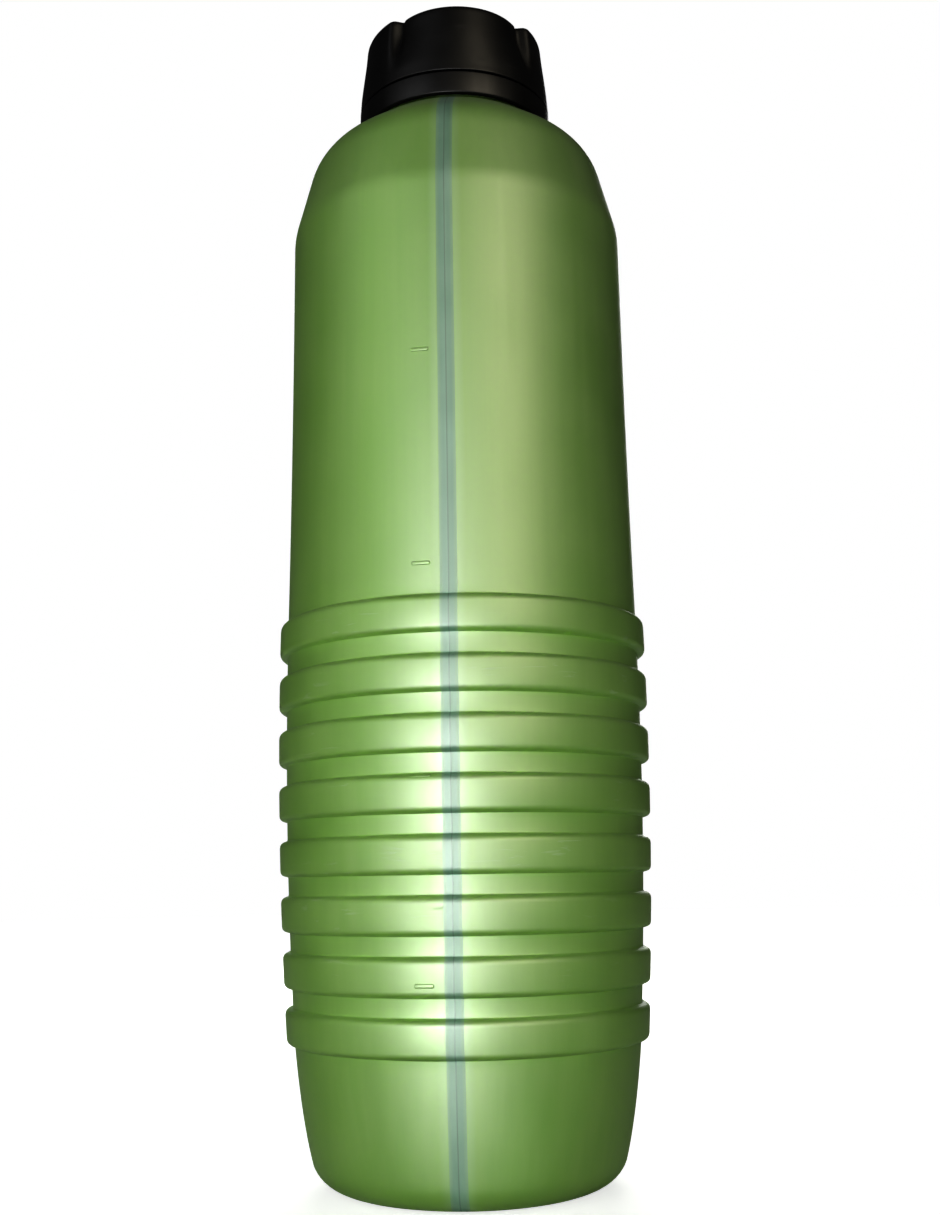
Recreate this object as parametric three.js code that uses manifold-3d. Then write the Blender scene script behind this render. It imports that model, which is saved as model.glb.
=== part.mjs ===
// One-litre oil bottle: a ribbed blow-moulded body with a see-through level strip down its
// front, and a lobed screw cap with its liner and the tamper band that it has broken from.
// Millimetres, +Z up. The origin is the middle of the base, on the plane that it stands on.
// The level strip faces -Y.

import * as THREE from 'three';
import { mergeVertices } from 'three/addons/utils/BufferGeometryUtils.js';
import Module from 'manifold-3d';

const wasm = await Module();
wasm.setup();

// ---------------------------------------------------------------- driving dimensions

// Body
const bodyWall = 1.1;
const bodySegments = 32;
const standRingWidth = 6; // flat ring that the bottle stands on
const basePushUp = 4; // rise of the recess inside that ring
const baseCornerWidth = 8.7; // from the standing ring out to the side wall
const baseCornerHeight = 5.3;
const baseTaper = 4; // how much the foot is narrower than the lowest groove, on the radius

// Grip ribs
const ribCount = 8;
const ribRadius = 41.45; // the fullest rib
const ribDepth = 1.7;
const ribHeight = 7.8;
const ribFoot = 29.7; // underside of the lowest rib
const ribPitch = 11.66; // lowest pitch
const ribPitchGrowth = 0.08; // each pitch is longer than the one below by this
const ribTopRound = 3;
const ribBottomRound = 2;
const barrelMiddle = 100; // height of the fullest rib
const barrelRadius = 1080; // the ribs' faces lie on an arc of this radius

// Smooth panel, shoulder and dome above the ribs
const panelHeight = 92.9;
const panelTaper = 0.8;
const shoulderHeight = 15;
const shoulderTaper = 4;
const knuckleHeight = 4; // from the shoulder's cone up to its corner with the dome
const cornerReach = 3.5; // reach of that corner's rounding
const domeRise = 11.3; // from that corner up to the neck

// Neck
const neckRadius = 16.3; // at the thread's root
const neckWall = 2;
const neckHeight = 17;
const neckFillet = 1.2;
const rimChamfer = 0.5;
const beadRise = 3; // underside of the retaining bead above the foot of the neck
const beadHeight = 1.3;
const beadDepth = 4.1;
const beadSlope = 1; // the bead's upper side slopes over this width

// Thread
const threadPitch = 4.233;
const threadDepth = 1;
const threadCrest = 0.7; // width of the crest
const threadRoot = 1.7; // width of the root
const threadGap = 0.3; // running gap, both radial and on the working flank
const neckThreadTurns = 1.5;
const capThreadTurns = 1.25;
const capThreadStart = 0.13; // the cap's thread starts at this part of a turn
const threadBelowRim = 3.5; // the last turn's centre line below the rim
const threadSteps = 36; // steps in one turn
const threadRunOut = 30; // degrees over which each end of a thread fades

// Cap
const capSegments = 72;
const linerThickness = 1.1;
const linerGap = 0.1; // above and below the liner
const linerSideGap = 0.3;
const capTopThickness = 2.6;
const innerSkirtWall = 1.1;
const skirtSpace = 3.1; // between the threaded skirt and the grip shell
const capWall = 1.3;
const capAboveBead = 0.6; // the cap's lower edge above the underside of the bead
const capShoulderInset = 0.5; // the grip shell leans in by this up to its shoulder
const capShoulderDrop = 6.5; // the shoulder is this far below the top
const capTopInset = 0.8; // and leans in further by this up to its rim
const capRimRound = 1;
const capPanelInset = 5.5; // shallow recess in the top, from the rim
const capPanelSlope = 0.4;
const capPanelDepth = 1.1;
const lobeTurn = 10; // degrees from the level strip to the middle of the front lobe
const lobeFall = 2.2; // the front and back lobes fall away by this at their ends
const lobeFlat = 0.7; // the side lobes are this much flatter at their middles
const lobeStep = 3; // degrees, half the width of the step up to a side lobe
const notchDepth = 0.8; // the narrow notch at each step
const notchHalfWidth = 5; // degrees
const lobeFadeBottom = 2; // the lobes begin this far above the cap's lower edge
const lobeFadeTop = 3.5; // and are full this far below its top

// Tamper band
const bandHeight = 5.2;
const bandWall = 1.4;
const bandGap = 0.5; // between the band and the cap
const bandLipThickness = 1.2;
const bandLipGap = 0.4; // under the retaining bead
const bandLipOverlap = 1.4; // how far the lip reaches under the bead
const bandStubCount = 12; // stubs of the broken bridges
const bandStubSize = 0.7;
const bandStubHeight = 0.2;

// Level strip and marks
const stripWidth = 3.6;
const stripJoint = 0.3; // open joint between the strip and the wall
const stripFoot = 2.2;
const stripEndInset = 2.2; // the strip stops this far out from the neck
const markHeights = [43.8, 84.3, 127.4, 173.6]; // about 200 ml apart
const markLength = 4;
const markRadius = 0.4;
const markTurn = 8.3; // degrees from the strip's middle

// ---------------------------------------------------------------- small tools

const degrees = Math.PI / 180;

function smoothstep(low, high, value) {
  const t = Math.min(Math.max((value - low) / (high - low), 0), 1);
  return t * t * (3 - 2 * t);
}

// Merges shared corners and drops the empty triangles at a lathe's poles.
function closedGeometry(geometry) {
  geometry.deleteAttribute('normal');
  geometry.deleteAttribute('uv');
  const merged = mergeVertices(geometry);
  const index = merged.getIndex().array;
  const kept = [];
  for (let i = 0; i < index.length; i += 3) {
    const [a, b, c] = index.slice(i, i + 3);
    if (a !== b && b !== c && c !== a) kept.push(a, b, c);
  }
  merged.setIndex(kept);
  return merged;
}

function toSolid(geometry) {
  const closed = closedGeometry(geometry);
  const vertProperties = new Float32Array(closed.getAttribute('position').array);
  const triVerts = new Uint32Array(closed.getIndex().array);
  return new wasm.Manifold(new wasm.Mesh({ numProp: 3, vertProperties, triVerts }));
}

function toGeometry(solid) {
  const mesh = solid.getMesh();
  const geometry = new THREE.BufferGeometry();
  geometry.setAttribute('position', new THREE.BufferAttribute(mesh.vertProperties, 3));
  geometry.setIndex(new THREE.BufferAttribute(mesh.triVerts, 1));
  geometry.computeVertexNormals();
  return geometry;
}

// A profile of (radius, height) points turned about Z; its seam faces -Y.
function turned(points, segments) {
  return new THREE.LatheGeometry(points, segments).rotateX(Math.PI / 2);
}

function profile(...pairs) {
  return pairs.map(([radius, height]) => new THREE.Vector2(radius, height));
}

// A plain round disc.
function discSolid(radius, bottom, top) {
  const points = profile([0, bottom], [radius, bottom], [radius, top], [0, top]);
  return toSolid(turned(points, capSegments / 2));
}

// Radius of a profile at a height, between its first and last points.
function radiusAt(points, height) {
  const above = points.findIndex((point) => point.y > height);
  const a = points[above - 1];
  const b = points[above];
  return a.x + ((b.x - a.x) * (height - a.y)) / (b.y - a.y);
}

// A thread: a trapezoid swept along a right-hand helix. It stands out from the wall when
// side is 1 and in from it when side is -1, and its root is sunk a little into the wall.
function threadGeometry(wallRadius, side, startHeight, startTurn, turns) {
  const sink = 0.3;
  const steps = Math.round(turns * threadSteps);
  const positions = [];
  for (let i = 0; i <= steps; i += 1) {
    const turn = (i / steps) * turns;
    const angle = (startTurn + turn) * 2 * Math.PI;
    const fromEnd = Math.min(turn, turns - turn) * 360;
    const depth = threadDepth * (0.05 + 0.95 * smoothstep(0, threadRunOut, fromEnd));
    const middle = startHeight + turn * threadPitch;
    const section = [
      [-sink, -threadRoot / 2],
      [depth, -threadCrest / 2],
      [depth, threadCrest / 2],
      [-sink, threadRoot / 2],
    ];
    for (const [out, rise] of section) {
      const radius = wallRadius + side * out;
      positions.push(radius * Math.cos(angle), radius * Math.sin(angle), middle + rise);
    }
  }
  const index = [];
  const quad = (a, b, c, d) => {
    if (side > 0) index.push(a, b, c, a, c, d);
    else index.push(a, c, b, a, d, c);
  };
  for (let i = 0; i < steps; i += 1) {
    for (let k = 0; k < 4; k += 1) {
      const next = (k + 1) % 4;
      quad(4 * i + k, 4 * i + 4 + k, 4 * i + 4 + next, 4 * i + next);
    }
  }
  quad(0, 1, 2, 3);
  quad(4 * steps + 3, 4 * steps + 2, 4 * steps + 1, 4 * steps);
  const geometry = new THREE.BufferGeometry();
  geometry.setAttribute('position', new THREE.Float32BufferAttribute(positions, 3));
  geometry.setIndex(index);
  return geometry;
}

// ---------------------------------------------------------------- heights and radii

// The ribs' faces lie on a shallow barrel.
function ribFaceRadius(height) {
  return ribRadius - (height - barrelMiddle) ** 2 / (2 * barrelRadius);
}

function ribBottom(rib) {
  return ribFoot + rib * ribPitch + (rib * (rib - 1) * ribPitchGrowth) / 2;
}

const ribsTop = ribBottom(ribCount - 1) + ribHeight;
const creaseHeight = ribsTop + panelHeight;
const coneTop = creaseHeight + shoulderHeight;
const cornerHeight = coneTop + knuckleHeight;
const neckFoot = cornerHeight + domeRise;
const rimHeight = neckFoot + neckHeight;

const lowGrooveRadius = ribFaceRadius(ribFoot) - ribDepth;
const footRadius = lowGrooveRadius - baseTaper;
const standOuter = footRadius - baseCornerWidth;
const standInner = standOuter - standRingWidth;
const panelFootRadius = ribFaceRadius(ribsTop) - ribDepth;
const panelTopRadius = panelFootRadius - panelTaper;
const coneTopRadius = panelTopRadius - shoulderTaper;
const cornerRadius = coneTopRadius - (shoulderTaper / shoulderHeight) * knuckleHeight;
const domeSlope = domeRise / (cornerRadius - neckRadius - neckFillet);

const boreRadius = neckRadius - neckWall;
const beadBottom = neckFoot + beadRise;
const beadTop = beadBottom + beadHeight;
const beadRadius = neckRadius + beadDepth;
const neckThreadTop = rimHeight - threadBelowRim;
const neckThreadStart = neckThreadTop - neckThreadTurns * threadPitch;

const linerBottom = rimHeight + linerGap;
const capCeiling = linerBottom + linerThickness + linerGap;
const capTop = capCeiling + capTopThickness;
const skirtBore = neckRadius + threadDepth + threadGap;
const skirtRadius = skirtBore + innerSkirtWall;
const capRadius = skirtRadius + skirtSpace + capWall;
const capBottom = beadBottom + capAboveBead;
const skirtBottom = beadTop + threadGap;

const bandTop = capBottom - bandGap;
const bandBottom = bandTop - bandHeight;
const bandInner = capRadius - bandWall;

// ---------------------------------------------------------------- bottle

// Outside of the wall, from the middle of the base up to the rim.
function outerProfile() {
  const path = new THREE.Path();
  path.moveTo(0, basePushUp);
  path.quadraticCurveTo(standInner * 0.7, basePushUp, standInner, 0);
  path.lineTo(standOuter, 0);
  path.bezierCurveTo(
    standOuter + baseCornerWidth * 0.52, 0,
    footRadius - 1.1, baseCornerHeight * 0.45,
    footRadius, baseCornerHeight,
  );
  path.quadraticCurveTo(
    footRadius + baseTaper * 0.62, ribFoot * 0.49,
    lowGrooveRadius, ribFoot,
  );
  for (let rib = 0; rib < ribCount; rib += 1) addRib(path, ribBottom(rib));
  path.quadraticCurveTo(
    panelTopRadius + panelTaper * 0.15, ribsTop + panelHeight * 0.42,
    panelTopRadius, creaseHeight,
  );
  path.lineTo(coneTopRadius, coneTop);
  path.quadraticCurveTo(
    cornerRadius, cornerHeight,
    cornerRadius - cornerReach, cornerHeight + cornerReach * domeSlope,
  );
  path.lineTo(neckRadius + neckFillet, neckFoot);
  path.quadraticCurveTo(neckRadius, neckFoot + neckFillet * 0.7, neckRadius, beadBottom);
  path.lineTo(beadRadius, beadBottom);
  path.lineTo(beadRadius, beadBottom + beadHeight * 0.5);
  path.lineTo(beadRadius - beadSlope, beadTop);
  path.lineTo(neckRadius, beadTop);
  path.lineTo(neckRadius, rimHeight - rimChamfer);
  path.lineTo(neckRadius - rimChamfer, rimHeight);
  return path.getPoints(3);
}

// One rib: a close rounding under it, a flat face and an easier rounding on top.
function addRib(path, bottom) {
  const top = bottom + ribHeight;
  const lowFace = ribFaceRadius(bottom + ribBottomRound);
  const highFace = ribFaceRadius(top - ribTopRound);
  path.lineTo(ribFaceRadius(bottom) - ribDepth, bottom);
  path.lineTo(lowFace - ribDepth * 0.25, bottom + ribBottomRound * 0.3);
  path.lineTo(lowFace, bottom + ribBottomRound);
  path.lineTo(highFace, top - ribTopRound);
  path.lineTo(highFace - ribDepth * 0.3, top - ribTopRound * 0.35);
  path.lineTo(ribFaceRadius(top) - ribDepth, top);
}

// Inside of the wall, from the rim down to the middle of the base.
function innerProfile() {
  const points = profile(
    [boreRadius, rimHeight],
    [boreRadius, neckFoot + 0.5],
    [boreRadius + 1, neckFoot - bodyWall],
  );
  points.push(...profile(
    [cornerRadius - cornerReach - 0.5, cornerHeight + cornerReach * domeSlope - bodyWall * 1.1],
    [cornerRadius - bodyWall - 0.6, cornerHeight - 1.4],
    [coneTopRadius - bodyWall, coneTop - 0.5],
    [panelTopRadius - bodyWall, creaseHeight],
    [panelTopRadius + panelTaper * 0.3 - bodyWall, ribsTop + panelHeight * 0.5],
  ));
  for (let rib = ribCount - 1; rib >= 0; rib -= 1) {
    const bottom = ribBottom(rib);
    const top = bottom + ribHeight;
    points.push(...profile(
      [ribFaceRadius(top) - ribDepth - bodyWall, top - 0.3],
      [ribFaceRadius(top - ribTopRound) - bodyWall, top - ribTopRound],
      [ribFaceRadius(bottom + ribBottomRound) - bodyWall, bottom + ribBottomRound],
      [ribFaceRadius(bottom) - ribDepth - bodyWall, bottom + 0.3],
    ));
  }
  const footInner = footRadius - bodyWall;
  points.push(...profile(
    [footRadius + baseTaper * 0.56 - bodyWall, ribFoot * 0.5],
    [footInner, baseCornerHeight],
    [footInner - 1.4, baseCornerHeight * 0.5 + bodyWall * 0.6],
    [standOuter, bodyWall],
    [standInner, bodyWall],
    [standInner * 0.6, basePushUp * 0.7 + bodyWall],
    [0, basePushUp + bodyWall],
  ));
  return points;
}

// A raised bar with round ends, lying level on the wall.
function levelMark(height, radius) {
  const bar = new THREE.CapsuleGeometry(markRadius, markLength - 2 * markRadius, 3, 8);
  bar.rotateZ(Math.PI / 2);
  bar.translate(0, -radius, height);
  bar.rotateZ(-markTurn * degrees);
  return toSolid(bar);
}

// Cuts the front stretch of the wall, of the given width. Its back runs from the standing
// ring up to the neck, so that it stays clear of the recess under the base.
function stripCutter(width, foot, inset) {
  const front = -(ribRadius + 10);
  const shape = new THREE.Shape(profile(
    [front, foot],
    [-standOuter, foot],
    [-(neckRadius + inset), neckFoot],
    [front, neckFoot],
  ));
  const geometry = new THREE.ExtrudeGeometry(shape, { depth: width, bevelEnabled: false });
  const alongX = new THREE.Matrix4().makeBasis(
    new THREE.Vector3(0, 1, 0),
    new THREE.Vector3(0, 0, 1),
    new THREE.Vector3(1, 0, 0),
  );
  geometry.applyMatrix4(alongX);
  geometry.translate(-width / 2, 0, 0);
  return toSolid(geometry);
}

const outer = outerProfile();
const inner = innerProfile();
const bareBottle = toSolid(turned([...outer, ...inner], bodySegments));

function bottleShell() {
  const cutter = stripCutter(
    stripWidth + 2 * stripJoint, stripFoot - stripJoint, stripEndInset - stripJoint,
  );
  const thread = toSolid(threadGeometry(neckRadius, 1, neckThreadStart, 0, neckThreadTurns));
  let solid = bareBottle.subtract(cutter).add(thread);
  const wallPoints = outer.filter((point) => point.y > 0);
  for (const height of markHeights) {
    solid = solid.add(levelMark(height, radiusAt(wallPoints, height)));
  }
  return toGeometry(solid);
}

function sightStrip() {
  return toGeometry(bareBottle.intersect(stripCutter(stripWidth, stripFoot, stripEndInset)));
}

// ---------------------------------------------------------------- cap

// How far the grip is cut in at an angle from -Y and a height. The front and back lobes fall
// away towards their ends, and step up through a notch to the two flatter side lobes. All of
// it fades down the grip.
function lobeCut(angle, height) {
  const turn = angle / degrees - lobeTurn;
  const fromMiddle = Math.abs(turn - 180 * Math.round(turn / 180));
  const end = 45; // degrees from a lobe's middle to its end
  const onSide = smoothstep(end - lobeStep, end + lobeStep, fromMiddle);
  const fall = lobeFall * Math.min(fromMiddle / end, 1) ** 2;
  const flat = lobeFlat * Math.min((fromMiddle - end) / end, 1);
  const notch = notchDepth * (1 - smoothstep(0, notchHalfWidth, Math.abs(fromMiddle - end)));
  const rise = smoothstep(capBottom + lobeFadeBottom, capTop - lobeFadeTop, height);
  return (fall * (1 - onSide) + flat * onSide + notch) * rise;
}

// Outline of the grip shell, set in by an inset, closed on the axis.
function gripProfile(inset, bottom, top) {
  const shoulderRadius = capRadius - capShoulderInset - inset;
  const rimRadius = shoulderRadius - capTopInset;
  const span = capTop - capShoulderDrop - capBottom;
  const points = profile([0, bottom], [capRadius - inset, bottom]);
  for (let i = 1; i <= 4; i += 1) {
    const height = capBottom + (span * i) / 4;
    points.push(new THREE.Vector2(capRadius - inset - (capShoulderInset * i) / 4, height));
  }
  const bend = new THREE.QuadraticBezierCurve(
    new THREE.Vector2(shoulderRadius, capTop - capShoulderDrop),
    new THREE.Vector2(shoulderRadius - capTopInset * 0.3, capTop - capShoulderDrop * 0.5),
    new THREE.Vector2(rimRadius, Math.min(top, capTop - capRimRound)),
  );
  points.push(...bend.getPoints(3).slice(1));
  if (top > capTop - capRimRound) {
    points.push(...profile(
      [rimRadius - capRimRound * 0.3, top - capRimRound * 0.3],
      [rimRadius - capRimRound, top],
      [rimRadius - capPanelInset, top],
      [rimRadius - capPanelInset - capPanelSlope, top - capPanelDepth],
      [0, top - capPanelDepth],
    ));
  } else {
    points.push(new THREE.Vector2(0, top));
  }
  return points;
}

// The grip's lathe, with its outer wall moved in by the lobes' cut.
function gripSolid(inset, bottom, top) {
  const geometry = turned(gripProfile(inset, bottom, top), capSegments);
  const position = geometry.getAttribute('position');
  const fixed = capRadius - capShoulderInset - capTopInset - capPanelInset; // the recess's edge
  for (let i = 0; i < position.count; i += 1) {
    const x = position.getX(i);
    const y = position.getY(i);
    const radius = Math.hypot(x, y);
    const share = smoothstep(fixed, fixed + 2.5, radius);
    const moved = radius - share * lobeCut(Math.atan2(x, -y), position.getZ(i));
    if (radius > 0) position.setXY(i, (x * moved) / radius, (y * moved) / radius);
  }
  return toSolid(geometry);
}

function screwCap() {
  const below = 1;
  const shell = gripSolid(0, capBottom, capTop);
  const hollow = gripSolid(capWall, capBottom - below, capCeiling);
  const skirt = discSolid(skirtRadius, skirtBottom, capCeiling);
  const bore = discSolid(skirtBore, capBottom - 2 * below, capCeiling);
  const flankSlope = (threadRoot - threadCrest) / 2 / threadDepth;
  const flankToFlank = threadCrest + flankSlope * (threadDepth - threadGap) + threadGap;
  const start = neckThreadStart - flankToFlank + capThreadStart * threadPitch;
  const thread = toSolid(threadGeometry(skirtBore, -1, start, capThreadStart, capThreadTurns));
  const solid = shell.subtract(hollow.subtract(skirt)).subtract(bore).add(thread);
  return toGeometry(solid);
}

function capLiner() {
  return toGeometry(discSolid(skirtBore - linerSideGap, linerBottom, linerBottom + linerThickness));
}

// ---------------------------------------------------------------- tamper band

function tamperBand() {
  const lipTop = beadBottom - bandLipGap;
  const lipInner = beadRadius - bandLipOverlap;
  const points = profile(
    [bandInner, bandBottom],
    [capRadius - 0.3, bandBottom],
    [capRadius, bandBottom + 0.4],
    [capRadius, bandTop - 0.3],
    [capRadius - 0.3, bandTop],
    [bandInner, bandTop],
    [bandInner, lipTop],
    [lipInner, lipTop],
    [lipInner, lipTop - bandLipThickness * 0.6],
    [bandInner, lipTop - bandLipThickness],
    [bandInner, bandBottom],
  );
  let solid = toSolid(turned(points, capSegments / 2));
  const sunk = 0.3;
  for (let i = 0; i < bandStubCount; i += 1) {
    const stub = new THREE.BoxGeometry(bandStubSize, bandStubSize, bandStubHeight + sunk);
    stub.translate(0, -(bandInner + bandWall / 2), bandTop + (bandStubHeight - sunk) / 2);
    stub.rotateZ(((i + 0.5) / bandStubCount) * 2 * Math.PI);
    solid = solid.add(toSolid(stub));
  }
  return toGeometry(solid);
}

// ---------------------------------------------------------------- assembly

function part(name, geometry, color, roughness) {
  const material = new THREE.MeshStandardMaterial({ color, roughness, metalness: 0 });
  const mesh = new THREE.Mesh(geometry, material);
  mesh.name = name;
  return mesh;
}

const group = new THREE.Group();
group.add(
  part('bottle_shell', bottleShell(), 0x6f9c3c, 0.42),
  part('sight_strip', sightStrip(), 0x8fae9c, 0.45),
  part('screw_cap', screwCap(), 0x101113, 0.4),
  part('cap_liner', capLiner(), 0xe4e2da, 0.7),
  part('tamper_band', tamperBand(), 0x101113, 0.4),
);

export default group;
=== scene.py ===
# A one-litre oil bottle of green blow-moulded plastic with a black screw cap, standing on a pale
# floor in soft studio light. Lengths are in metres unless a name ends in _mm. The bottle stands
# on z = 0 and its level strip faces -Y.

import math

import bmesh
import bpy
from mathutils import Matrix, Vector


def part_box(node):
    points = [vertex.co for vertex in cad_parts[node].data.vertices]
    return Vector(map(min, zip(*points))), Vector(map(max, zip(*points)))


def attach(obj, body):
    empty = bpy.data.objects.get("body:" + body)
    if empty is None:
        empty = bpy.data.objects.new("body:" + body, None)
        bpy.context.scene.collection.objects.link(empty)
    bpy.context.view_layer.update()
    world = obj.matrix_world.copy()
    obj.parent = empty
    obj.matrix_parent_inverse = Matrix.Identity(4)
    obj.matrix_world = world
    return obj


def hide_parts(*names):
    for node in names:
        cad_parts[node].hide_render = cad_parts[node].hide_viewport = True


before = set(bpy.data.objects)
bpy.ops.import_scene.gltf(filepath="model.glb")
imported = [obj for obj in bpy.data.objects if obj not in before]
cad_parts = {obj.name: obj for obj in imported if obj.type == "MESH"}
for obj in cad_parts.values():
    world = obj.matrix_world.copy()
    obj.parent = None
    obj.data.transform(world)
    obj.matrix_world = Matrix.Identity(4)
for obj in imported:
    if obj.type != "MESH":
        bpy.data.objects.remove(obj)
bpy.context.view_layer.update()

# ---------------------------------------------------------------- camera
# The camera stands low and close in front of the bottle and looks up a little, so the foot is
# seen from just above and the cap from well below.

mm = 0.001
camera_place = Vector((21.1, -319.8, 63.8)) * mm
camera_heading = math.radians(3.44)
camera_tilt = math.radians(10.88)
camera_roll = math.radians(-0.93)
camera_data = bpy.data.cameras.new("camera")
camera_data.sensor_width = 36
camera_data.lens = 41.96
camera_data.clip_start = 0.01
camera = bpy.data.objects.new("camera", camera_data)
camera.matrix_world = (
    Matrix.Translation(camera_place)
    @ Matrix.Rotation(camera_heading, 4, "Z")
    @ Matrix.Rotation(math.pi / 2 + camera_tilt, 4, "X")
    @ Matrix.Rotation(camera_roll, 4, "Z")
)
bpy.context.scene.collection.objects.link(camera)
bpy.context.scene.camera = camera

# ---------------------------------------------------------------- bottle and level strip
# The bottle is one blow-moulded wall of green HDPE, about a millimetre thick. A strip of the
# same plastic without pigment is extruded into its front, so that the oil's level shows. The
# two are made as one wall here and then parted along the strip's edges.

shell_low, shell_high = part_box("bottle_shell")
strip_low, strip_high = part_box("sight_strip")

wall = 1.1 * mm
rib_radius = shell_high.y
rib_count = 8
rib_depth = 1.7 * mm
rib_height = 7.8 * mm
rib_foot = 29.7 * mm
rib_pitch = 11.66 * mm
rib_pitch_growth = 0.08 * mm
barrel_middle = 100 * mm
barrel_radius = 1.08
base_recess = 4 * mm
foot_taper = 4 * mm
foot_corner_reach = 8.7 * mm
foot_corner_height = 5.3 * mm
standing_ring = 6 * mm
panel_taper = 0.8 * mm
shoulder_taper = 4 * mm
shoulder_rounding = 2.2 * mm
dome_rounding = 5.2 * mm
neck_radius = 16.3 * mm
bore_radius = 14.3 * mm
rim_height = shell_high.z
neck_foot = rim_height - 17 * mm
dome_corner = neck_foot - 11.3 * mm
cone_top = dome_corner - 4 * mm
crease = cone_top - 15 * mm
bead_low = neck_foot + 3 * mm
bead_high = bead_low + 1.3 * mm
bead_radius = neck_radius + 4.1 * mm
thread_pitch = 4.233 * mm
thread_depth = 1 * mm
thread_crest = 0.7 * mm
thread_root = 1.7 * mm
neck_thread_turns = 1.5
neck_thread_start = rim_height - 3.5 * mm - neck_thread_turns * thread_pitch


def rib_face(height):
    """Radius of the ribs' faces, which lie on a shallow barrel."""
    return rib_radius - (height - barrel_middle) ** 2 / (2 * barrel_radius)


def curve(start, bend, end, steps):
    """Points of a quadratic curve, without its first point."""
    points = []
    for i in range(1, steps + 1):
        t = i / steps
        points.append(tuple(
            (1 - t) ** 2 * a + 2 * t * (1 - t) * b + t * t * c
            for a, b, c in zip(start, bend, end)
        ))
    return points


def soften(corners, steps=4):
    """Rounds an outline's corners: each is (radius, height, reach of the rounding)."""
    points = [corners[0][:2]]
    for before, corner, after in zip(corners, corners[1:], corners[2:]):
        middle = Vector(corner[:2])
        reach = corner[2] if len(corner) > 2 else 0
        if reach == 0:
            points.append(tuple(middle))
            continue
        back = (Vector(before[:2]) - middle).normalized() * reach
        on = (Vector(after[:2]) - middle).normalized() * reach
        points.append(tuple(middle + back))
        points += curve(middle + back, middle, middle + on, steps)
    points.append(corners[-1][:2])
    return points


def thread_height(angle, height, start, start_turn, turns):
    """How far a right-hand thread stands from its wall at an angle from +X and a height."""
    first = (angle / (2 * math.pi) - start_turn) % 1
    best = 0
    for turn in (first, first + 1):
        if turn > turns:
            continue
        off = abs(height - start - turn * thread_pitch)
        flank = (thread_root - thread_crest) / 2
        rise = min(max((thread_root / 2 - off) / flank, 0), 1)
        run_out = min(min(turn, turns - turn) * 12, 1)
        best = max(best, rise * rise * (3 - 2 * rise) * run_out)
    return best * thread_depth


def bottle_outline():
    """The wall's outside from the middle of the base to the foot of the neck."""
    groove = rib_face(rib_foot) - rib_depth
    foot = groove - foot_taper
    stand_outer = foot - foot_corner_reach
    stand_inner = stand_outer - standing_ring
    points = [(0, base_recess)]
    points += curve(points[-1], (stand_inner * 0.72, base_recess), (stand_inner, 0.2 * mm), 9)
    points += [(stand_inner + 0.6 * mm, 0), (stand_outer - 3 * mm, 0), (stand_outer, 0)]
    corner = [(stand_outer, 0), (stand_outer + 4.5 * mm, 0),
              (foot - 1.1 * mm, foot_corner_height * 0.45), (foot, foot_corner_height)]
    for i in range(1, 13):
        t = i / 12
        weights = ((1 - t) ** 3, 3 * t * (1 - t) ** 2, 3 * t * t * (1 - t), t ** 3)
        points.append(tuple(sum(w * p[k] for w, p in zip(weights, corner)) for k in (0, 1)))
    points += curve(points[-1], (foot + 2.5 * mm, rib_foot * 0.49), (groove, rib_foot), 12)[:-1]

    grip = [points.pop() + (0,)]
    for rib in range(rib_count):
        low = rib_foot + rib * rib_pitch + rib * (rib - 1) * rib_pitch_growth / 2
        high = low + rib_height
        grip += [
            (rib_face(low) - rib_depth, low, 0.2 * mm),
            (rib_face(low), low + 0.45 * mm, 0.9 * mm),
            (rib_face(low + 3.6 * mm), low + 3.6 * mm),
            (rib_face(high), high - 0.5 * mm, 1.15 * mm),
            (rib_face(high) - rib_depth, high, 0.35 * mm),
        ]
    ribs_top = high
    panel_foot = rib_face(ribs_top) - rib_depth
    grip.append((panel_foot, ribs_top + 2 * mm))
    points += soften(grip)

    panel_top = panel_foot - panel_taper
    side = curve(points[-1], (panel_top + 0.12 * mm, ribs_top + 39 * mm), (panel_top, crease), 12)
    points += side[:-1]
    cone_end = panel_top - shoulder_taper
    dome_turn = cone_end - 1 * mm
    dome = [points.pop() + (0,), (panel_top, crease, shoulder_rounding),
            ((panel_top + cone_end) / 2, (crease + cone_top) / 2),
            (dome_turn, dome_corner, dome_rounding),
            (neck_radius + 6 * mm, neck_foot - 2.9 * mm, 2 * mm),
            (neck_radius, neck_foot + 0.2 * mm, 1.2 * mm),
            (neck_radius, bead_low)]
    return points + soften(dome, steps=8)[1:]


def neck_outline():
    """The neck's outside, with its retaining bead, from its foot up to the rim."""
    bead = soften([
        (neck_radius, bead_low - 0.4 * mm), (neck_radius, bead_low, 0.15 * mm),
        (bead_radius, bead_low, 0.2 * mm), (bead_radius, bead_low + 0.7 * mm, 0.3 * mm),
        (bead_radius - 1 * mm, bead_high, 0.3 * mm), (neck_radius, bead_high, 0.2 * mm),
        (neck_radius, bead_high + 0.4 * mm),
    ])
    steps = 64
    low = bead[-1][1]
    high = rim_height - 0.6 * mm
    for i in range(1, steps + 1):
        bead.append((neck_radius, low + (high - low) * i / steps))
    rim = [bead.pop(), (neck_radius, rim_height, 0.35 * mm),
           (bore_radius + 1 * mm, rim_height)]
    return bead + soften(rim)


def inner_wall(outline, thickness):
    """The same wall's inside, point for point."""
    inside = []
    for i, (radius, height) in enumerate(outline):
        before = Vector(outline[max(i - 1, 0)])
        after = Vector(outline[min(i + 1, len(outline) - 1)])
        along = (after - before).normalized()
        inside.append((max(radius - along.y * thickness, 0), height + along.x * thickness))
    inside[0] = (0, outline[0][1] + thickness)
    return inside


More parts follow.
